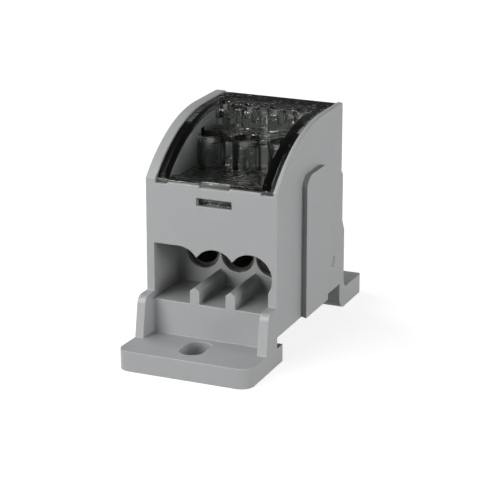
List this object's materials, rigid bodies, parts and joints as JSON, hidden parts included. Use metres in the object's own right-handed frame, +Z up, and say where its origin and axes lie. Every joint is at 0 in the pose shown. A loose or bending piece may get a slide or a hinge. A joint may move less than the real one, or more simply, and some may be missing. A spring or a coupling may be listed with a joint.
{
  "type": "power distribution block",
  "caption": "Single-pole terminal block with a screw-down and rail-mount base, wire clamps at front and rear and a stepped smoke-clear hinged cover.",
  "frame": {"origin": "on the base plane, in the middle of the outline in X and Y", "axes": "+X to the side with the joining key, +Y from the large front terminals to the rear, +Z up"},
  "size_m": [0.0298, 0.0652, 0.046],
  "materials": {
    "housing_plastic": "fine matt moulded",
    "cover_smoke": "clear smoke-tinted",
    "tinned_brass": "tin-plated",
    "screw_steel": "zinc-plated",
    "latch_plastic": "matt moulded"
  },
  "bodies": {
    "housing": {"housing": "housing_plastic", "conductor_block": "tinned_brass"},
    "cover": {"cover": "cover_smoke"},
    "front_screw_1": {"front_screw_1": "screw_steel"},
    "front_screw_2": {"front_screw_2": "screw_steel"},
    "front_screw_3": {"front_screw_3": "screw_steel"},
    "rear_screw_1": {"rear_screw_1": "screw_steel"},
    "rear_screw_2": {"rear_screw_2": "screw_steel"},
    "rear_screw_3": {"rear_screw_3": "screw_steel"},
    "rear_screw_4": {"rear_screw_4": "screw_steel"},
    "rail_latch": {"rail_latch": "latch_plastic"}
  },
  "joints": [
    {"name": "cover_hinge", "type": "hinge", "parent": "housing", "child": "cover", "pos_m": [0, 0.0147, 0.038], "axis": [-1, 0, 0], "range_deg": [0, 90]},
    {"name": "front_screw_1_drive", "type": "slide", "parent": "housing", "child": "front_screw_1", "axis": [0, 0, -1], "range_m": [0, 0.0046]},
    {"name": "front_screw_2_drive", "type": "slide", "parent": "housing", "child": "front_screw_2", "axis": [0, 0, -1], "range_m": [0, 0.0046]},
    {"name": "front_screw_3_drive", "type": "slide", "parent": "housing", "child": "front_screw_3", "axis": [0, 0, -1], "range_m": [0, 0.0046]},
    {"name": "rear_screw_1_drive", "type": "slide", "parent": "housing", "child": "rear_screw_1", "axis": [0, 0, -1], "range_m": [0, 0.0029]},
    {"name": "rear_screw_2_drive", "type": "slide", "parent": "housing", "child": "rear_screw_2", "axis": [0, 0, -1], "range_m": [0, 0.0029]},
    {"name": "rear_screw_3_drive", "type": "slide", "parent": "housing", "child": "rear_screw_3", "axis": [0, 0, -1], "range_m": [0, 0.0029]},
    {"name": "rear_screw_4_drive", "type": "slide", "parent": "housing", "child": "rear_screw_4", "axis": [0, 0, -1], "range_m": [0, 0.0029]},
    {"name": "rail_latch_slide", "type": "slide", "parent": "housing", "child": "rail_latch", "axis": [0, 1, 0], "range_m": [0, 0.0022]}
  ]
}
